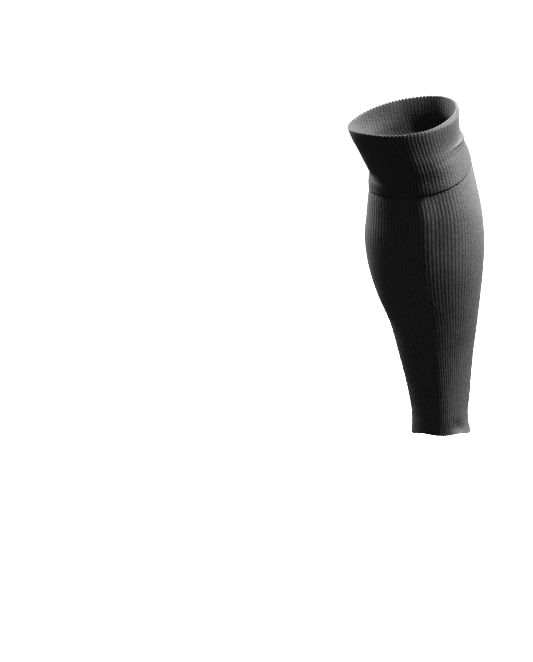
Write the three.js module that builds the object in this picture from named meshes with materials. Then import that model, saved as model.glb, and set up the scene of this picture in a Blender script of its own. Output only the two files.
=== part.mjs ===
// Footless rib-knit sleeve sock for a left leg, in the form that it has when worn.
// Millimetres, +Z up. The shin faces -Y, the outer side of the leg +X and the calf muscle +Y.
// The origin is the middle of the leg at the fullest part of the calf.
import * as THREE from 'three';

// Driving dimensions
const ribCount = 92;          // ribs round the sock, running on from the leg into the cuff
const ribDepthShare = 0.14;   // depth of a groove, as a share of the spacing of the ribs
const legThickness = 2.0;     // single rib knit, measured over a rib
const cuffThickness = 2.7;    // the top turned inside and sewn down, so two layers
const seamGap = 0.35;         // clear height between the leg's top edge and the cuff
const cuffStep = 0.15;        // how far the cuff's lower edge stands proud of the leg
const rimRound = 0.5;         // rounding of the cuff's turned top edge
const ridgeSoftness = 0.2;    // rounding of the shin's ridge, as a share of the half width
const outlineSteps = 960;     // straight steps in which a ring's length is measured
const knitColour = 0x1c1c1e;  // near-black yarn
const knitRoughness = 0.94;

// A section is a ring round the sock. Its columns are
// inner, outer: the X of the two sides, front, back: the Y of the shin and of the calf,
// wide: the Y at which the ring is widest,
// zInner, zOuter, zFront, zBack: the ring's height at those four places,
// twist: how much higher it is halfway between outer side and calf, and between inner side and shin,
// shinInner, shinOuter, calfInner, calfOuter: the roundness of each quarter,
// where 2 is an ellipse, less is drawn to a ridge and more is squarer,
// grow: how far the knit's face stands outside the ring.
const sectionColumns = [
  'inner', 'outer', 'front', 'back', 'wide', 'zInner', 'zOuter', 'zFront', 'zBack', 'twist',
  'shinInner', 'shinOuter', 'calfInner', 'calfOuter', 'grow',
];

// The seam, where the leg's top edge meets the cuff
const seamSection = [-58.8, 49.8, -55.6, 56.0, 1, 52.9, 79.0, 51.2, 75.1, 1.76, 1.30, 3.10, 2.0, 2.1];

// From the hem at the ankle up to the seam
const legSections = [
  [-14.0, 49.6, -37.5, 34.0, -4, -206.2, -205.0, -206.0, -204.5, 0, 0.85, 1.05, 1.6, 1.6, 0],
  [-13.5, 47.3, -37.9, 33.5, -4, -196.0, -195.5, -196.0, -195.5, 0, 0.90, 1.15, 1.6, 1.6, 0],
  [-13.5, 46.4, -38.5, 33.0, -4, -186.5, -186.5, -186.5, -186.5, 0, 0.95, 1.20, 1.6, 1.6, 0],
  [-16.7, 48.1, -40.0, 33.8, -4, -165.0, -165.0, -165.0, -165.0, 0, 1.00, 1.35, 1.6, 1.6, 0],
  [-27.8, 51.9, -44.6, 39.5, -3, -120.0, -120.0, -120.0, -120.0, 0, 1.15, 1.65, 1.7, 1.7, 0],
  [-36.2, 55.8, -48.0, 47.0, -1, -90.0, -90.0, -90.0, -90.0, 0, 1.20, 2.00, 1.8, 1.8, 0],
  [-49.5, 59.3, -51.4, 57.0, 2, -60.0, -60.0, -60.0, -60.0, 0, 1.25, 2.40, 1.9, 1.9, 0],
  [-59.0, 62.2, -54.0, 64.0, 4, -30.0, -30.0, -30.0, -30.0, 0, 1.25, 2.75, 2.0, 2.0, 0],
  [-63.1, 63.2, -55.4, 66.0, 4, 0.0, 0.0, 0.0, 0.0, 0, 1.20, 2.95, 2.0, 2.0, 0],
  [-61.2, 60.2, -56.2, 64.0, 3, 26.0, 31.0, 26.0, 31.0, 0.6, 1.20, 3.10, 2.0, 2.1, 0],
  [...seamSection, 0],
];

// From the seam up to the rim: a lower band, the fold that runs round it, and the flared top
const cuffSections = [
  [...seamSection, cuffStep],
  [-59.2, 46.7, -57.0, 55.2, 0, 61.4, 91.0, 62.6, 86.1, 1.66, 1.35, 2.85, 2.2, 2.1, cuffStep],
  [-58.7, 41.8, -58.5, 54.3, -1, 67.9, 101.4, 73.7, 97.0, 1.47, 1.40, 2.45, 2.5, 2.1, 0],
  [-59.8, 39.3, -59.5, 53.8, -1, 73.9, 107.0, 79.2, 101.8, 1.47, 1.45, 2.20, 2.7, 2.1, 0],
  [-63.6, 38.1, -60.8, 53.2, -2, 81.9, 112.1, 86.8, 107.6, 1.44, 1.50, 2.05, 2.7, 2.1, 0],
  [-66.4, 37.4, -61.5, 52.7, -2, 87.4, 114.7, 91.2, 111.4, 1.42, 1.55, 1.95, 2.5, 2.1, 0],
  [-70.1, 36.6, -62.5, 52.0, -3, 95.0, 119.2, 97.8, 117.2, 1.40, 1.60, 1.95, 2.1, 2.1, 0],
  [-78.0, 35.8, -64.5, 51.7, -4, 108.6, 130.5, 110.3, 129.3, 1.42, 1.70, 2.00, 1.65, 2.2, 0],
  [-81.4, 35.8, -65.6, 52.1, -4, 117.5, 138.5, 118.0, 137.6, 1.44, 1.75, 2.00, 1.38, 2.3, 0],
  [-82.0, 35.8, -65.8, 52.2, -4, 119.0, 140.0, 119.5, 139.1, 1.44, 1.75, 2.00, 1.35, 2.3, -rimRound],
];

// A fold is a soft local swelling, dent or wave. Its columns are
// angle: its place round the leg in degrees, from the outer side by way of the calf,
// spread: its half width in degrees, level: the mean height of the ring that it follows,
// slope: how much its level rises with each degree, above, below: how far it reaches up and down,
// power: 2 for a round fold and 1 for a crease, push, lift: how far it moves the wall outwards and upwards.
const foldColumns = ['angle', 'spread', 'level', 'slope', 'above', 'below', 'power', 'push', 'lift'];

// A dent above the flared hem, the waves of the hem's edge, and the edge of the shin
const legFolds = [
  [-42, 14, -194, 0, 5, 5, 2, -1.2, 0],
  [-52, 18, -205, 0, 6, 6, 2, 0.5, 1.3],
  [-130, 24, -205, 0, 6, 6, 2, 0, 1.6],
  [-85, 8, -25, 0, 50, 50, 2, 0.9, 0],
];

// The outer ledge, the inner crease, the dimple over the shin, and the rim's slow waves
const cuffFolds = [
  [-14, 20, 95.2, -0.03, 1.8, 14, 2, 2.5, 0],
  [195, 26, 86.2, -0.20, 4, 4, 1, -1.0, 0],
  [-76, 18, 78.5, 0, 7, 7, 2, -0.9, 0],
  [222, 26, 130.0, 0, 15, 15, 2, 0, 1.2],
  [118, 24, 130.0, 0, 15, 15, 2, 0, 1.6],
  [-62, 16, 130.0, 0, 15, 15, 2, 0, -1.1],
];

const nameColumns = (names, row) => Object.fromEntries(names.map((name, column) => [name, row[column]]));

const meanHeight = (section) => (section.zInner + section.zOuter + section.zFront + section.zBack) / 4;

// Power curve from 0 to 1 with a rounded start, so that a ridge has no sharp edge.
function softPower(share, power) {
  const start = ridgeSoftness ** power;
  const rise = (share ** 2 + ridgeSoftness ** 2) ** (power / 2);
  const end = (1 + ridgeSoftness ** 2) ** (power / 2);
  return (rise - start) / (end - start);
}

// A section's ring as a closed curve, from the middle of the shin round by the outer side.
class SectionRing extends THREE.Curve {
  constructor(section) {
    super();
    this.section = section;
    this.arcLengthDivisions = outlineSteps;
  }

  static angleAt(t) {
    return 2 * Math.PI * t - Math.PI / 2;
  }

  getPoint(t, target = new THREE.Vector3()) {
    const { inner, outer, front, back, wide, zInner, zOuter, zFront, zBack, twist } = this.section;
    const { shinInner, shinOuter, calfInner, calfOuter } = this.section;
    const angle = SectionRing.angleAt(t);
    const across = Math.cos(angle);
    const facesFront = Math.sin(angle) < 0;
    const shin = across < 0 ? shinInner : shinOuter;
    const calf = across < 0 ? calfInner : calfOuter;
    const fullness = Math.sqrt(Math.max(0, 1 - softPower(Math.abs(across), facesFront ? shin : calf)));
    const lean = facesFront ? -fullness : fullness;
    const saddle = (zInner + zOuter - zFront - zBack) / 4;
    const x = (outer + inner) / 2 + (outer - inner) / 2 * across;
    const y = wide + (facesFront ? wide - front : back - wide) * lean;
    const z = meanHeight(this.section) + (zOuter - zInner) / 2 * across
      + (zBack - zFront) / 2 * Math.sin(angle) + saddle * Math.cos(2 * angle) + twist * Math.sin(2 * angle);
    return target.set(x, y, z);
  }
}

// How far the folds move a ring's wall outwards and upwards at an angle.
function foldShift(folds, level, angle) {
  const shift = { push: 0, lift: 0 };
  for (const fold of folds) {
    const turn = angle - THREE.MathUtils.degToRad(fold.angle);
    const around = THREE.MathUtils.radToDeg(Math.atan2(Math.sin(turn), Math.cos(turn)));
    const height = level - fold.level - fold.slope * around;
    const reach = height > 0 ? fold.above : fold.below;
    const share = Math.exp(-((around / fold.spread) ** 2) - Math.abs(height / reach) ** fold.power);
    shift.push += fold.push * share;
    shift.lift += fold.lift * share;
  }
  return shift;
}

// One ring of the wall: an outer row with a point on each rib and in each groove,
// and an inner row with a point behind each rib. Ribs are evenly spaced along the ring.
function wallRing(section, folds, thickness, raise) {
  const ring = new SectionRing(section);
  const pointCount = 2 * ribCount;
  const grooveDepth = ribDepthShare * ring.getLength() / ribCount;
  const outer = [];
  const inner = [];
  for (let column = 0; column < pointCount; column += 1) {
    const share = column / pointCount;
    const t = ring.getUtoTmapping(share);
    const point = ring.getPoint(t);
    const tangent = ring.getTangent(t);
    const outward = new THREE.Vector3(tangent.y, -tangent.x, 0).normalize();
    const { push, lift } = foldShift(folds, meanHeight(section), SectionRing.angleAt(t));
    const isGroove = column % 2 === 1;
    point.z += lift + raise;
    outer.push(point.clone().addScaledVector(outward, push + section.grow - (isGroove ? grooveDepth : 0)));
    if (!isGroove) {
      inner.push(point.clone().addScaledVector(outward, push - thickness));
    }
  }
  return { outer, inner };
}

// Joins rings, from the lowest up, into one closed wall that is open at both ends.
function knitWall(rings) {
  const pointCount = 2 * ribCount;
  const vertices = rings.flatMap((ring) => [...ring.outer, ...ring.inner]);
  const ringSize = pointCount + ribCount;
  const outerAt = (ring, column) => ring * ringSize + column % pointCount;
  const innerAt = (ring, rib) => ring * ringSize + pointCount + rib % ribCount;
  const faces = [];
  for (let low = 0; low + 1 < rings.length; low += 1) {
    const high = low + 1;
    for (let column = 0; column < pointCount; column += 1) {
      faces.push(outerAt(low, column), outerAt(low, column + 1), outerAt(high, column + 1));
      faces.push(outerAt(low, column), outerAt(high, column + 1), outerAt(high, column));
    }
    for (let rib = 0; rib < ribCount; rib += 1) {
      faces.push(innerAt(low, rib), innerAt(high, rib + 1), innerAt(low, rib + 1));
      faces.push(innerAt(low, rib), innerAt(high, rib), innerAt(high, rib + 1));
    }
  }
  const top = rings.length - 1;
  for (let rib = 0; rib < ribCount; rib += 1) {
    const crest = 2 * rib;
    faces.push(outerAt(top, crest), outerAt(top, crest + 1), innerAt(top, rib));
    faces.push(outerAt(top, crest + 1), outerAt(top, crest + 2), innerAt(top, rib + 1));
    faces.push(outerAt(top, crest + 1), innerAt(top, rib + 1), innerAt(top, rib));
    faces.push(outerAt(0, crest + 1), outerAt(0, crest), innerAt(0, rib));
    faces.push(outerAt(0, crest + 2), outerAt(0, crest + 1), innerAt(0, rib + 1));
    faces.push(innerAt(0, rib + 1), outerAt(0, crest + 1), innerAt(0, rib));
  }
  const geometry = new THREE.BufferGeometry().setFromPoints(vertices);
  geometry.setIndex(faces);
  geometry.computeVertexNormals();
  return geometry;
}

// The part of the sock below the seam, from the ankle to just under the knee.
function makeLegSleeve() {
  const folds = legFolds.map((row) => nameColumns(foldColumns, row));
  const sections = legSections.map((row) => nameColumns(sectionColumns, row));
  const seam = sections.length - 1;
  const rings = sections.map((section, index) => {
    const raise = index === seam ? -seamGap / 2 : 0;
    return wallRing(section, folds, legThickness, raise);
  });
  const knit = new THREE.MeshStandardMaterial({ color: knitColour, roughness: knitRoughness, metalness: 0 });
  const mesh = new THREE.Mesh(knitWall(rings), knit);
  mesh.name = 'leg_sleeve';
  return mesh;
}

// The doubled band above the seam, with its fold and its flared mouth.
function makeCuff() {
  const folds = cuffFolds.map((row) => nameColumns(foldColumns, row));
  const sections = cuffSections.map((row) => nameColumns(sectionColumns, row));
  const rings = sections.map((section, index) => {
    const raise = index === 0 ? seamGap / 2 : 0;
    return wallRing(section, folds, cuffThickness, raise);
  });
  const knit = new THREE.MeshStandardMaterial({ color: knitColour, roughness: knitRoughness, metalness: 0 });
  const mesh = new THREE.Mesh(knitWall(rings), knit);
  mesh.name = 'cuff';
  return mesh;
}

const sleeveSock = new THREE.Group();
sleeveSock.name = 'sleeve_sock';
sleeveSock.add(makeLegSleeve(), makeCuff());

export default sleeveSock;
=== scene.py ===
import math

import bpy
import numpy as np
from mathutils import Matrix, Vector


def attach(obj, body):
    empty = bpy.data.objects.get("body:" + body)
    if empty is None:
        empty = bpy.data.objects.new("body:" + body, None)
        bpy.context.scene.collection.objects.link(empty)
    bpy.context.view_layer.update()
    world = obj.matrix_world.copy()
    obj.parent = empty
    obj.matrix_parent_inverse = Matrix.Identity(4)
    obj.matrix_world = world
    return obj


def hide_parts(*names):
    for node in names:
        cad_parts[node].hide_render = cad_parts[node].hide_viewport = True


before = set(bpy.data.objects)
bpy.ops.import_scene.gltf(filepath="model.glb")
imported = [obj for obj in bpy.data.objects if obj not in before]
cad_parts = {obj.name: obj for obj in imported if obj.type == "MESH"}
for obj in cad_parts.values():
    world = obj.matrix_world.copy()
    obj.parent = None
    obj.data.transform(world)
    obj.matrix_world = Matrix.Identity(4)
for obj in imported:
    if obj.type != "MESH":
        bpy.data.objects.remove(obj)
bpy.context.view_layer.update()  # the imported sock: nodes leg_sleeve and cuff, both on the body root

print("frame loaded, nodes:", sorted(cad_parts))

mm = 0.001  # the tables are in millimetres, as in the part's source, and the meshes in metres

# The knit, which is the same all over the sock
knit = {
    "ribCount": 92,               # ribs round the sock
    "ribSamples": 6,              # mesh columns in each rib
    "scallop": 1.4,               # how far a rib's round end stands out of an edge, mm
    "ridgeSoftness": 0.12,        # rounding of the shin's ridge, as a share of the half width
    "outlineSteps": 960,          # straight steps in which a ring's length is measured
    "stray": 0.02,                # how far a rib wanders sideways, as a share of the rib spacing
    "unevenness": 0.15,           # how much a groove's depth varies along it
    "innerFlatness": 0.45,        # how much the stretch on the inner side flattens the grooves
    "waveLengths": [83, 31, 12],  # of the ribs' slow waves, mm
    "straySeed": 5,               # draws the waves of the ribs' places
    "depthSeed": 9,               # draws the waves of the grooves' depths
    "tipPower": 4,                # how closely the tilt of an edge's inner tip keeps to the tip
    "courseHeight": 1.3,          # one row of stitches, mm
}

# A section is a ring round the sock. Its columns are the x of its inner and outer side, the y of its front,
# of its back and of its widest place, the heights of the four sides and a twist between them, the powers that
# shape the four quarters in the order in which ringPoints unpacks them, and a step of the face outwards.
seamSection = [-58.8, 49.8, -55.6, 56.0, 1, 52.9, 79.0, 51.2, 75.1, 1.76, 1.30, 3.75, 2.0, 2.1]
heightColumns = slice(5, 9)


def ringLevels(table):
    # A ring's level is the mean of its four heights.
    return np.array(table)[:, heightColumns].mean(axis=1)


def smoothRows(table, level):
    # A cubic curve through each column of the table: between two rows it takes both and their slopes.
    knots = ringLevels(table)
    slopes = np.gradient(table, knots, axis=0)
    span = np.clip(np.searchsorted(knots, level) - 1, 0, len(knots) - 2)
    width = (knots[span + 1] - knots[span])[:, None]
    t = (level - knots[span])[:, None] / width
    start = (1 + 2 * t) * (1 - t) ** 2 * table[span] + t * (1 - t) ** 2 * width * slopes[span]
    end = t**2 * (3 - 2 * t) * table[span + 1] + t**2 * (t - 1) * width * slopes[span + 1]
    return start + end


def ringPoints(sections, angle):
    # x goes from side to side with the angle's cosine. y goes from the widest place to the shin or the calf
    # with the square root of one less a softened power of that cosine. z is the mean of the four heights
    # plus a tilt from side to side with the cosine, a tilt from shin to calf with the sine, a saddle with
    # the doubled angle's cosine, where the two pairs differ, and a twist with the doubled angle's sine.
    (inner, outer, front, back, wide, zInner, zOuter, zFront, zBack, twist,
     shinInner, shinOuter, calfInner, calfOuter) = [column[:, None] for column in sections.T[:-1]]
    across = np.cos(angle)
    isFront = np.sin(angle) < 0
    shinPower = np.where(across < 0, shinInner, shinOuter)
    calfPower = np.where(across < 0, calfInner, calfOuter)
    power = np.where(isFront, shinPower, calfPower)
    soft = knit["ridgeSoftness"]
    rise = (across**2 + soft**2) ** (power / 2) - soft**power
    whole = (1 + soft**2) ** (power / 2) - soft**power
    fullness = np.sqrt(np.maximum(0, 1 - rise / whole))
    lean = np.where(isFront, -fullness, fullness)
    x = (outer + inner) / 2 + (outer - inner) / 2 * across
    y = wide + np.where(isFront, wide - front, back - wide) * lean
    saddle = (zInner + zOuter - zFront - zBack) / 4
    z = (zInner + zOuter + zFront + zBack) / 4 + (zOuter - zInner) / 2 * across
    z = z + (zBack - zFront) / 2 * np.sin(angle) + saddle * np.cos(2 * angle) + twist * np.sin(2 * angle)
    return np.stack([x, y, z], axis=-1)


def evenAngles(sections, shares):
    # The angles at which each ring has run the given shares of its length, from the middle of the shin.
    angle = np.linspace(-0.5 * np.pi, 1.5 * np.pi, knit["outlineSteps"] + 1)
    steps = np.linalg.norm(np.diff(ringPoints(sections, angle[None, :]), axis=1), axis=2)
    run = np.pad(np.cumsum(steps, axis=1), ((0, 0), (1, 0)))
    found = [np.interp(share % 1 * line[-1], line, angle) for share, line in zip(shares, run)]
    return np.array(found)


def ribPlaces():
    # The place of each mesh column round the sock, counted in ribs.
    return np.arange(knit["ribCount"] * knit["ribSamples"]) / knit["ribSamples"]


def ribWaves(level, seed):
    # Slow sine waves along each rib, each with its own phase, blended from one rib to the next. From -1 to 1.
    lengths = knit["waveLengths"]
    phases = np.random.default_rng(seed).uniform(0, 2 * np.pi, (len(lengths), knit["ribCount"]))
    waves = [np.sin(2 * np.pi * level[:, None] / size + phase) for size, phase in zip(lengths, phases)]
    mean = np.mean(waves, axis=0)
    rib = ribPlaces()
    low = rib.astype(int)
    part = rib - low
    return mean[:, low] * (1 - part) + mean[:, (low + 1) % knit["ribCount"]] * part


def foldShift(folds, level, angle):
    # Each fold is a bell round its angle times a bell over its height, which may reach further up than down.
    # The bell over the height is round with the power 2, and comes to a crease with the power 1.
    # Fold columns: angle, spread, level, slope, above, below, power, push, lift.
    push = np.zeros_like(angle)
    lift = np.zeros_like(angle)
    for foldAngle, spread, foldLevel, slope, above, below, power, foldPush, foldLift in folds:
        turn = angle - math.radians(foldAngle)
        around = np.degrees(np.arctan2(np.sin(turn), np.cos(turn)))
        height = level[:, None] - foldLevel - slope * around
        reach = np.where(height > 0, above, below)
        share = np.exp(-((around / spread) ** 2) - np.abs(height / reach) ** power)
        push += foldPush * share
        lift += foldLift * share
    return push, lift


liningColumn = 4  # of the profile that station makes


def station(level, inset=0.0, lift=0.0, ribbing=0.0, lining=0.0, edge=0.0):
    # A stretch of the wall's profile: the ring's level, how far inside its face and above it the wall lies,
    # how strongly the ribs of the face and of the inside show, and an edge's side: 1 the top, -1 the bottom.
    return np.stack(np.broadcast_arrays(*np.atleast_1d(level, inset, lift, ribbing, lining, edge)), axis=1)


def knitWall(piece, profile):
    # The profile carried round the ring: each point is the ring's point, moved outwards by the folds and the
    # section's step, inwards by the inset and the grooves, and upwards by the lift. A groove's depth goes with
    # one less the cosine of the place in the rib, so ribs lie side by side like round cords. The inside has
    # its own ribs half way between them. At an edge the ribs' ends are round and the edge's top may tilt.
    level = profile[:, 0]
    inset, lift, ribbing, lining, edge = [column[:, None] for column in profile.T[1:]]
    sections = smoothRows(np.array(piece["sections"]), level)
    rib = ribPlaces()
    stray = knit["stray"] * ribWaves(level, knit["straySeed"])
    angle = evenAngles(sections, (rib + stray) / knit["ribCount"])
    ring = ringPoints(sections, angle)
    along = np.roll(ring, -1, axis=1) - np.roll(ring, 1, axis=1)
    outward = np.stack([along[..., 1], -along[..., 0], np.zeros_like(angle)], axis=-1)
    outward /= np.linalg.norm(outward, axis=-1, keepdims=True)
    push, rise = foldShift(piece["folds"], level, angle)
    uneven = 1 + knit["unevenness"] * ribWaves(level, knit["depthSeed"])
    across = np.cos(angle)
    flatness = np.where(across > 0, piece["outerFlatness"], knit["innerFlatness"]) * across**2
    depth = piece["grooveDepth"] * ribbing * (1 - flatness * (1 - np.abs(edge)))
    grooveShare = 1 - np.abs(np.cos(np.pi * rib))
    grooves = depth * grooveShare
    hollows = piece["hollowDepth"] * lining * (1 - np.abs(np.sin(np.pi * rib)))
    distance = push + sections[:, -1:] * (1 - lining) - inset + uneven * (hollows - grooves)
    points = ring + outward * distance[..., None]
    points[..., 2] += lift + rise - edge * knit["scallop"] * grooveShare
    tipShare = np.maximum(0, -across) ** knit["tipPower"]
    points[..., 2] += edge * inset * (piece["edgeTilt"] * np.sin(angle) - piece["tipTilt"] * tipShare)
    return points * mm


def knitObject(name, piece, profile, material):
    # Puts the wall's grid, which closes both ways, into a mesh. The UV map counts ribs round the sock and
    # courses along it, and is half a rib on where the wall's inside has its ribs, so that the painted rib
    # shade lies in the inside's own grooves.
    points = knitWall(piece, profile)
    lining = profile[:, liningColumn]
    rows, columns = points.shape[:2]
    row, column = np.meshgrid(np.arange(rows), np.arange(columns), indexing="ij")
    cornerRow = row[..., None] + np.array([0, 0, 1, 1])
    cornerColumn = column[..., None] + np.array([0, 1, 1, 0])
    corners = cornerRow % rows * columns + cornerColumn % columns
    steps = np.linalg.norm(np.roll(points, -1, axis=0) - points, axis=2).mean(axis=1)
    courses = np.pad(np.cumsum(steps), (1, 0)) / (knit["courseHeight"] * mm)
    shift = np.append(lining, lining[0])[cornerRow] / 2
    uv = np.stack([cornerColumn / knit["ribSamples"] + shift, courses[cornerRow]], axis=-1)
    mesh = bpy.data.meshes.new(name)
    mesh.vertices.add(rows * columns)
    mesh.vertices.foreach_set("co", points.ravel())
    mesh.loops.add(corners.size)
    mesh.loops.foreach_set("vertex_index", corners.ravel())
    mesh.polygons.add(rows * columns)
    mesh.polygons.foreach_set("loop_start", np.arange(rows * columns) * corners.shape[-1])
    mesh.polygons.foreach_set("use_smooth", np.ones(rows * columns, bool))
    mesh.uv_layers.new(name="knitGrid").data.foreach_set("uv", uv.ravel())
    mesh.update(calc_edges=True)
    mesh.validate()
    mesh.materials.append(material)
    made = bpy.data.objects.new(name, mesh)
    bpy.context.scene.collection.objects.link(made)
    print(name, "has", 2 * rows * columns, "triangles")
    return made


class Shade:
    # Wraps a socket of a shader, so that maths on it is written as an expression.
    def __init__(self, tree, socket=None):
        self.tree = tree
        self.socket = socket

    def node(self, kind, settings=None, sockets=None, out=0):
        # Any node: its settings first, then the values or links of its sockets. Returns the named output.
        made = self.tree.nodes.new(kind)
        for name, value in (settings or {}).items():
            setattr(made, name, value)
        for name, value in (sockets or {}).items():
            if isinstance(value, Shade):
                self.tree.links.new(value.socket, made.inputs[name])
            else:
                made.inputs[name].default_value = value
        return Shade(self.tree, made.outputs[out]) if len(made.outputs) else None

    def maths(self, operation, *values):
        return self.node("ShaderNodeMath", {"operation": operation}, dict(enumerate(values)))

    def __add__(self, other):
        return self.maths("ADD", self, other)

    def __radd__(self, other):
        return self.maths("ADD", other, self)

    def __sub__(self, other):
        return self.maths("SUBTRACT", self, other)

    def __rsub__(self, other):
        return self.maths("SUBTRACT", other, self)

    def __mul__(self, other):
        return self.maths("MULTIPLY", self, other)

    def __rmul__(self, other):
        return self.maths("MULTIPLY", other, self)

    def __abs__(self):
        return self.maths("ABSOLUTE", self)

    def sine(self):
        return self.maths("SINE", self)

    def cosine(self):
        return self.maths("COSINE", self)

    def fraction(self):
        return self.maths("FRACT", self)


# The yarn, as far as both pieces share it
yarn = {
    # the dark end of the colours, which the painted shade in the rib grooves takes
    "shadedGrooveColour": (0.009, 0.009, 0.0092, 1),
    "stitchShare": 0.2,       # what a stitch's middle adds to the lightness
    "dyeShare": 0.25,         # what the uneven dye adds
    "fibreScale": 480.0,      # tufts of fibres of about 2 mm
    "fibreDetail": 3.0,
    "fibreRoughness": 0.7,
    "dyeScale": 60.0,
    "dyeDetail": 2.0,
    "stitchLean": 1.2,        # courses by which a stitch's legs rise to the groove
    "stitchHeight": 0.5,      # of the bump, as shares of its depth
    "fibreHeight": 1.25,
    "bumpStrength": 0.5,
    "bumpDepth": 0.7 * mm,
    "roughness": 0.95,
    "crestPolish": 0.1,       # how much smoother a rib's crest is
    "ior": 1.45,
    "specular": 0.2,
    "sheen": 0.02,
    "sheenRoughness": 0.5,
    "sheenTint": (1, 1, 1, 1),
}

# The single knit below the seam: the same yarn as the cuff's, painted lighter here as painted light on the leg
singleYarn = {
    **yarn,
    "litCrestColour": (0.044, 0.044, 0.045, 1),
    "evenShare": 0.18,        # how far the plain knit lies towards the lighter colour
    # the painted rib shade: painted sheen lightens the crests, painted shade darkens the grooves
    "paintedRibShade": 0.2,        # what the crest of a rib adds
    "fibreShare": 1.7,        # what the fibres' noise adds
}

# The doubled knit above the seam: the same yarn, painted darker than the leg's as painted shade on the cuff,
# with a stronger painted rib shade
doubledYarn = {
    **yarn,
    "litCrestColour": (0.0262, 0.0262, 0.0269, 1),
    "evenShare": -0.07,
    # a stronger painted rib shade than the leg's: painted sheen on the crests, painted shade in the grooves
    "paintedRibShade": 0.6,
    "fibreShare": 2.0,
}


def yarnMaterial(name, settings):
    # Near-black rib knit. Across a rib the crest goes with the cosine, and the colour is lighter on the crests
    # and darker in the grooves: painted sheen and painted shade of the ribs. Each stitch is a V, whose height
    # is a sine of the course, delayed by the distance from the crest. Fine noise is the fibres and coarse
    # noise the dye.
    material = bpy.data.materials.new(name)
    material.use_nodes = True
    tree = material.node_tree
    tree.nodes.clear()
    shade = Shade(tree)
    grid = shade.node("ShaderNodeUVMap", {"uv_map": "knitGrid"})
    rib = shade.node("ShaderNodeSeparateXYZ", None, {0: grid}, "X")
    course = shade.node("ShaderNodeSeparateXYZ", None, {0: grid}, "Y")
    fromCrest = (rib + 0.5).fraction() - 0.5
    crest = (fromCrest * math.pi).cosine()
    stitch = abs(((course + abs(fromCrest) * settings["stitchLean"]) * math.pi).sine())
    place = shade.node("ShaderNodeTexCoord", None, None, "Object")
    fibres = shade.node("ShaderNodeTexNoise", None, {
        "Vector": place,
        "Scale": settings["fibreScale"],
        "Detail": settings["fibreDetail"],
        "Roughness": settings["fibreRoughness"],
    })
    dye = shade.node("ShaderNodeTexNoise", None, {
        "Vector": place,
        "Scale": settings["dyeScale"],
        "Detail": settings["dyeDetail"],
    })
    # the crest term is painted sheen on the rib crests and painted shade in the grooves
    light = crest * settings["paintedRibShade"] + stitch * settings["stitchShare"] + settings["evenShare"]
    light = light + (fibres - 0.5) * settings["fibreShare"] + (dye - 0.5) * settings["dyeShare"]
    colour = shade.node("ShaderNodeMix", {"data_type": "RGBA", "clamp_factor": True}, {
        0: light,
        6: settings["shadedGrooveColour"],  # sockets 6 and 7 and output 2 are the node's colours
        7: settings["litCrestColour"],
    }, 2)
    height = stitch * settings["stitchHeight"] + fibres * settings["fibreHeight"]
    bump = shade.node("ShaderNodeBump", None, {
        "Height": height,
        "Strength": settings["bumpStrength"],
        "Distance": settings["bumpDepth"],
    })
    surface = shade.node("ShaderNodeBsdfPrincipled", None, {
        "Base Color": colour,
        "Roughness": settings["roughness"] - crest * settings["crestPolish"],
        "Normal": bump,
        "IOR": settings["ior"],
        "Specular IOR Level": settings["specular"],
        "Sheen Weight": settings["sheen"],
        "Sheen Roughness": settings["sheenRoughness"],
        "Sheen Tint": settings["sheenTint"],
    })
    shade.node("ShaderNodeOutputMaterial", None, {"Surface": surface})
    return material


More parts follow.
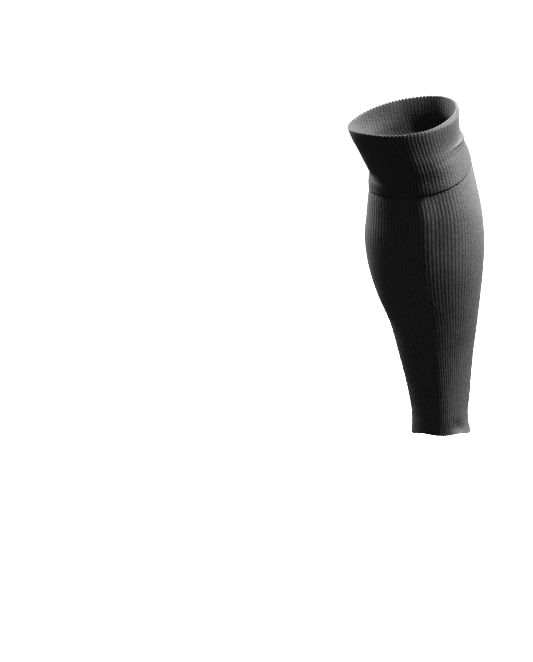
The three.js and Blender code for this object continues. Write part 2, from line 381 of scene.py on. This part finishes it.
# The tube from the hem at the ankle up to the cuff's seam
leg = {
    "thickness": 2.0,
    "grooveDepth": 0.37,             # of the ribs outside, mm
    "outerFlatness": 0.85,           # how much the stretch on the outer side flattens them
    "ankleDepth": 1.45,              # how much deeper they are where the tube is narrow
    "ankleLevels": (-150.0, -50.0),  # between which they deepen
    "hollowDepth": 0.30,             # of the ribs inside, mm
    "hemZone": 20.0,                 # height over the hem in which the rows lie closer
    "hemRows": 14,
    "rows": 78,
    "insideRows": 30,
    "edgeRows": 7,
    "edgeTilt": 0.0,                 # the hem's edge is level
    "tipTilt": 0.0,
    "seamShare": 0.6,                # how much of the grooves is left where the seam draws them flat
    "seamZone": 5.0,                 # height over which they fade to that
    "seamMargin": 1.0,               # height under the seam that is left to the tucked edge
    # inset and lift of the top edge, which tucks up behind the cuff's lower edge
    "tuck": [(0.0, -0.8), (0.0, -0.62), (0.0, -0.56), (0.03, -0.53), (0.1, -0.53), (0.6, -0.55), (1.15, -0.5),
             (1.25, -0.2), (1.3, 0.9), (1.4, 1.2), (1.6, 1.25), (1.85, 1.1), (2.0, 0.7)],
    "flat": (0.39, 0.27),            # the knit opened along one line and laid flat at its worn stretch, m
    "flatArea": 0.086,               # less than the two sides' product, because the tube narrows, square m
    "sections": [
        [-14.0, 49.6, -37.5, 34.0, -4, -206.2, -205.0, -206.0, -204.5, 0, 0.85, 2.15, 1.6, 1.6, 0],
        [-13.5, 47.3, -37.9, 33.5, -4, -196.0, -195.5, -196.0, -195.5, 0, 0.90, 2.05, 1.6, 1.6, 0],
        [-13.5, 46.4, -38.5, 33.0, -4, -186.5, -186.5, -186.5, -186.5, 0, 0.95, 1.85, 1.6, 1.6, 0],
        [-16.7, 48.1, -40.0, 33.8, -4, -165.0, -165.0, -165.0, -165.0, 0, 1.00, 1.55, 1.6, 1.6, 0],
        [-27.8, 51.9, -44.6, 39.5, -3, -120.0, -120.0, -120.0, -120.0, 0, 1.12, 1.50, 1.7, 1.7, 0],
        [-36.2, 55.8, -48.0, 47.0, -1, -90.0, -90.0, -90.0, -90.0, 0, 1.15, 1.74, 1.8, 1.8, 0],
        [-49.5, 59.3, -51.4, 57.0, 2, -60.0, -60.0, -60.0, -60.0, 0, 1.15, 2.22, 1.9, 1.9, 0],
        [-59.0, 62.2, -54.0, 64.0, 4, -30.0, -30.0, -30.0, -30.0, 0, 1.12, 2.58, 2.0, 2.0, 0],
        [-63.1, 63.2, -55.4, 66.0, 4, 0.0, 0.0, 0.0, 0.0, 0, 1.08, 2.70, 2.0, 2.0, 0],
        [-61.2, 60.2, -56.2, 64.0, 3, 26.0, 31.0, 26.0, 31.0, 0.6, 1.12, 2.90, 2.0, 2.1, 0],
        [*seamSection, 0],
    ],
    # a dent above the flared hem, two waves of the hem's edge, and the edge of the shin
    "folds": [
        [-48, 17, -198, 0, 9, 7, 2, -2.1, 0],
        [-52, 18, -205, 0, 6, 6, 2, 0, 1.3],
        [-130, 24, -205, 0, 6, 6, 2, 0, 1.6],
        [-88, 9, 20, 0, 90, 70, 2, 1.15, 0],
    ],
}


def makeLeg():
    # The profile goes up the face, over the tucked edge, down the inside and round the hem in a half circle.
    hem, seam = ringLevels(leg["sections"])[[0, -1]]
    top = seam - leg["seamMargin"]
    radius = leg["thickness"] / 2
    zone = hem + leg["hemZone"]
    face = np.concatenate([
        np.linspace(hem + radius, zone, leg["hemRows"], endpoint=False),
        np.linspace(zone, top, leg["rows"]),
    ])
    ribbing = 1 - (1 - leg["seamShare"]) * np.exp(-((seam - face) / leg["seamZone"]) ** 2)
    ribbing *= np.interp(face, leg["ankleLevels"], [leg["ankleDepth"], 1])
    tuckInset, tuckLift = np.array(leg["tuck"]).T
    inside = np.linspace(top, hem + radius, leg["insideRows"])
    turn = np.linspace(0, np.pi, leg["edgeRows"] + 2)[1:-1]
    profile = np.concatenate([
        station(face, ribbing=ribbing),
        station(seam + tuckLift, tuckInset, ribbing=np.linspace(leg["seamShare"], 0, len(tuckInset))),
        station(inside, leg["thickness"], lining=1),
        station(hem, radius + radius * np.cos(turn), radius - radius * np.sin(turn),
                ribbing=0.5 - 0.5 * np.cos(turn), lining=0.5 + 0.5 * np.cos(turn), edge=-1),
    ])
    piece = knitObject("leg_knit", leg, profile, ribKnit)
    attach(piece, "root")
    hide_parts("leg_sleeve")


# The doubled band above the seam, with its fold and its flared mouth
cuff = {
    "thickness": 2.7,
    "grooveDepth": 0.37,             # of the ribs outside, mm
    "outerFlatness": 0.7,            # how much the stretch on the outer side flattens them
    "ledgeLevels": (90.0, 99.0),     # between which they grow shallow and the rows lie closer
    "topShare": 0.65,                # how much of them is left above the ledge
    "rimZone": 3.5,                  # height under the rim in which they deepen again
    "rimDepth": 2.0,                 # how much deeper they are at the rim
    "hollowDepth": 0.18,             # of the ribs inside, mm
    "lowRows": 36,
    "ledgeRows": 32,
    "topRows": 36,
    "insideRows": 34,
    "rimRows": 6,
    "seamShare": 0.6,                # how much of the grooves is left where the seam draws them flat
    "seamZone": 5.0,                 # height over which they fade to that
    "seamMargin": 1.45,              # height over the seam that is left to the lower edge, outside
    "rebateMargin": 3.5,             # and inside
    "rimMargin": 0.3,                # from the lowest of the rim's edge to the first row inside
    "rimOuterRound": 0.5,            # the turned edge is round outside and nearly square inside
    "rimInnerRound": 0.4,
    "edgeTilt": 0.25,                # slope of its top, down to the inside over the shin and up over the calf
    "tipTilt": 1.0,                  # its slope down to the inside at the inner tip
    # inset and lift of the lower edge, from the inside out: a rebate over the leg's edge, then a rounded lip
    "rebate": [(3.05, 2.4), (2.9, 2.05), (2.5, 1.95), (1.8, 1.9), (1.32, 1.9), (1.25, 1.75), (1.22, 1.4),
               (1.12, 1.05), (0.8, 0.86), (0.4, 0.82), (0.12, 0.87), (0.02, 1.08)],
    "flat": (0.36, 0.066),           # one layer, opened along one line and laid flat at its worn stretch, m
    "flatArea": 0.0235,              # square m
    "sections": [
        [*seamSection, 0.15],
        [-59.2, 46.7, -57.0, 55.2, 0, 61.4, 91.0, 62.6, 86.1, 1.66, 1.35, 3.05, 2.2, 2.1, 0.1],
        [-58.7, 41.8, -58.5, 53.6, -1, 67.9, 101.4, 73.7, 97.0, 1.47, 1.40, 2.85, 2.5, 2.1, 0],
        [-58.8, 39.9, -59.1, 53.0, -1, 71.5, 104.8, 77.0, 99.9, 1.47, 1.43, 2.75, 2.6, 2.1, 0],
        [-59.8, 39.3, -59.5, 52.6, -1, 73.9, 107.0, 79.2, 101.8, 1.47, 1.45, 2.70, 2.7, 2.1, 0],
        [-63.6, 38.1, -60.8, 52.4, -2, 81.9, 112.1, 86.8, 107.6, 1.44, 1.50, 2.48, 2.7, 1.72, 0],
        [-66.4, 37.4, -61.5, 52.0, -2, 87.4, 114.7, 91.2, 111.4, 1.42, 1.55, 2.43, 2.5, 1.72, 0],
        [-70.1, 36.6, -62.5, 51.5, -3, 95.0, 119.2, 97.8, 117.2, 1.40, 1.60, 2.40, 2.1, 1.80, 0],
        [-77.6, 35.8, -64.5, 51.0, -4, 108.6, 130.5, 110.3, 129.3, 1.42, 1.70, 2.40, 1.65, 2.2, 0],
        [-81.0, 35.8, -65.6, 51.0, -4, 117.5, 138.5, 118.0, 137.6, 1.44, 1.75, 2.35, 1.38, 2.45, 0],
        [-81.3, 35.8, -65.8, 51.0, -4, 119.0, 140.0, 119.5, 139.1, 1.44, 1.75, 2.35, 1.35, 2.5, 0],
    ],
    # the outer ledge and the groove under it, the inner crease, the dimple over the shin, three slow waves
    # of the rim, the rim's edge that curls in on the outer side and the bulge under it, the back that leans
    # in, and the edge of the shin
    "folds": [
        [-12, 18, 95.0, -0.03, 1.0, 11.0, 2, 3.5, 0],
        [-18, 14, 92.1, -0.03, 0.7, 0.9, 1, -0.9, 0],
        [195, 26, 86.2, -0.20, 4, 4, 1, -1.0, 0],
        [-79, 18, 78.5, 0.00, 7, 7, 2, -0.5, 0],
        [222, 26, 130.0, 0.00, 15, 15, 2, 0, 1.9],
        [122, 38, 130.0, 0.00, 15, 15, 2, 0, 2.7],
        [-62, 16, 130.0, 0.00, 15, 15, 2, 0, -0.8],
        [-25, 38, 130.5, 0.00, 5, 2.6, 2, -1.3, 0],
        [-29, 22, 125.3, 0.00, 3, 20, 2, 1.8, 0],
        [106, 24, 132.0, 0.00, 5, 18, 2, -1.3, 0],
        [-89, 11, 80.0, 0.00, 45, 20, 2, 1.7, 0],
    ],
}


def makeCuff():
    # The profile goes up the face, over the turned rim, down the inside and out along the rebate to the lip.
    seam, rim = ringLevels(cuff["sections"])[[0, -1]]
    outerRound = cuff["rimOuterRound"]
    innerRound = cuff["rimInnerRound"]
    low, high = cuff["ledgeLevels"]
    face = np.concatenate([
        np.linspace(seam + cuff["seamMargin"], low, cuff["lowRows"], endpoint=False),
        np.linspace(low, high, cuff["ledgeRows"], endpoint=False),
        np.linspace(high, rim - outerRound - knit["scallop"], cuff["topRows"]),
    ])
    ribbing = 1 - (1 - cuff["seamShare"]) * np.exp(-((face - seam) / cuff["seamZone"]) ** 2)
    depths = [1, cuff["topShare"], cuff["topShare"], cuff["rimDepth"]]
    ribbing *= np.interp(face, [low, high, rim - cuff["rimZone"], face[-1]], depths)
    turn = np.linspace(0, np.pi / 2, cuff["rimRows"] + 1)[1:]
    deepest = innerRound + knit["scallop"] + max(cuff["edgeTilt"], cuff["tipTilt"]) * cuff["thickness"]
    inside = np.linspace(rim - deepest - cuff["rimMargin"], seam + cuff["rebateMargin"], cuff["insideRows"])
    rebateInset, rebateLift = np.array(cuff["rebate"]).T
    profile = np.concatenate([
        station(face, ribbing=ribbing),
        station(rim, outerRound - outerRound * np.cos(turn), outerRound * np.sin(turn) - outerRound,
                ribbing=cuff["rimDepth"], edge=1),
        station(rim, cuff["thickness"] - innerRound * (1 - np.sin(turn)), innerRound * (np.cos(turn) - 1),
                lining=1, edge=1),
        station(inside, cuff["thickness"], lining=1),
        station(seam + rebateLift, rebateInset, ribbing=np.linspace(0, cuff["seamShare"], len(rebateInset))),
    ])
    piece = knitObject("cuff_knit", cuff, profile, doubledRibKnit)
    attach(piece, "root")
    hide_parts("cuff")


# Camera: a long lens at the photograph's angle, a little above the sock
camera = {
    "elevation": 9.0,             # degrees over the level
    "distance": 20.0,             # from the plane through the sock's origin, m
    "clipEnd": 80.0,              # past the far wall of the sweep, m
    "frameSize": (533, 662),      # the photograph's frame, pixels
    "originPixel": (424.5, 238),  # where the sock's origin lies in that frame
    "pixel": 1.05 * mm,           # size of a pixel at the origin
    "sensor": 36.0,               # mm
}


def makeCamera():
    wide, high = camera["frameSize"]
    pixel = camera["pixel"]
    tilt = math.radians(camera["elevation"])
    up = np.array([0, math.sin(tilt), math.cos(tilt)])
    forward = np.array([0, math.cos(tilt), -math.sin(tilt)])
    aside = (wide / 2 - camera["originPixel"][0]) * pixel
    below = (camera["originPixel"][1] - high / 2) * pixel
    lens = bpy.data.cameras.new("camera")
    lens.sensor_width = camera["sensor"]
    lens.clip_end = camera["clipEnd"]
    lens.lens = camera["sensor"] * camera["distance"] / (high * pixel)
    seen = bpy.data.objects.new("camera", lens)
    seen.location = np.array([aside, 0, 0]) + up * below - forward * camera["distance"]
    seen.rotation_euler = (math.pi / 2 - tilt, 0, 0)
    bpy.context.scene.collection.objects.link(seen)
    bpy.context.scene.camera = seen


# Studio: a white sweep, two soft boxes overhead and a little light from all round
studio = {
    "floorLevel": -0.34,    # m
    "floorRadius": 28.0,
    "middleRadius": 0.01,   # of the one face that closes the floor
    "sweepRadius": 6.0,     # of the round between floor and wall
    "wallHeight": 30.0,
    "sweepRows": 12,
    "sweepColumns": 96,
    "white": 0.9,           # the paper's colour
    "glow": 1.0,            # its own light, which keeps it white all over
    "ambient": 0.215,
    # name, place, point that it faces, width, length, power
    "softBoxes": [
        ("softbox_right", (0.45, -0.03, 1.35), (0.0, 0.0, 0.0), 0.38, 0.38, 350.0),
        ("softbox_left", (-0.80, 0.78, 1.05), (0.0, 0.0, 0.0), 0.4, 0.4, 182.0),
    ],
}


def paperMaterial():
    material = bpy.data.materials.new("white_paper")
    material.use_nodes = True
    surface = material.node_tree.nodes["Principled BSDF"].inputs
    surface["Base Color"].default_value = (studio["white"], studio["white"], studio["white"], 1)
    surface["Roughness"].default_value = 1
    surface["Emission Color"].default_value = (1, 1, 1, 1)
    surface["Emission Strength"].default_value = studio["glow"]
    return material


def makeSweep():
    # A flat floor, a quarter round and an upright wall, turned once round the vertical.
    floorRadius = studio["floorRadius"]
    sweepRadius = studio["sweepRadius"]
    turn = np.linspace(0, np.pi / 2, studio["sweepRows"])
    radius = np.concatenate([
        [studio["middleRadius"]],
        floorRadius + sweepRadius * np.sin(turn),
        [floorRadius + sweepRadius],
    ])[:, None]
    height = np.concatenate([
        [0],
        sweepRadius - sweepRadius * np.cos(turn),
        [studio["wallHeight"]],
    ])[:, None]
    angle = np.linspace(0, 2 * np.pi, studio["sweepColumns"], endpoint=False)[None, :]
    level = studio["floorLevel"] + height + 0 * angle
    points = np.stack([radius * np.cos(angle), radius * np.sin(angle), level], axis=-1)
    rows, columns = points.shape[:2]
    row, column = np.meshgrid(np.arange(rows - 1), np.arange(columns), indexing="ij")
    cornerRow = row[..., None] + np.array([0, 1, 1, 0])
    cornerColumn = (column[..., None] + np.array([0, 0, 1, 1])) % columns
    faces = (cornerRow * columns + cornerColumn).reshape(-1, 4)
    mesh = bpy.data.meshes.new("sweep")
    mesh.from_pydata(points.reshape(-1, 3).tolist(), [], faces.tolist() + [list(range(columns))])
    mesh.materials.append(paperMaterial())
    sweep = bpy.data.objects.new("sweep", mesh)
    bpy.context.scene.collection.objects.link(sweep)
    sweep.visible_diffuse = False  # the paper shows white and throws no light back on the dark knit
    sweep.visible_glossy = False
    sweep.visible_shadow = False


def makeLights():
    scene = bpy.context.scene
    scene.view_settings.view_transform = "Standard"
    scene.world = bpy.data.worlds.new("studio")
    scene.world.use_nodes = True
    background = scene.world.node_tree.nodes["Background"].inputs
    background["Strength"].default_value = studio["ambient"]
    background["Color"].default_value = (1, 1, 1, 1)
    for name, place, aim, wide, long, power in studio["softBoxes"]:
        lamp = bpy.data.lights.new(name, "AREA")
        lamp.shape = "RECTANGLE"
        lamp.size = wide
        lamp.size_y = long
        lamp.energy = power
        box = bpy.data.objects.new(name, lamp)
        box.location = place
        box.rotation_euler = (box.location - Vector(aim)).to_track_quat("Z", "Y").to_euler()
        scene.collection.objects.link(box)


makeCamera()
makeSweep()
makeLights()
print("studio ready")

ribKnit = yarnMaterial("rib_knit", singleYarn)
doubledRibKnit = yarnMaterial("doubled_rib_knit", doubledYarn)
print("yarn ready")
makeLeg()
makeCuff()
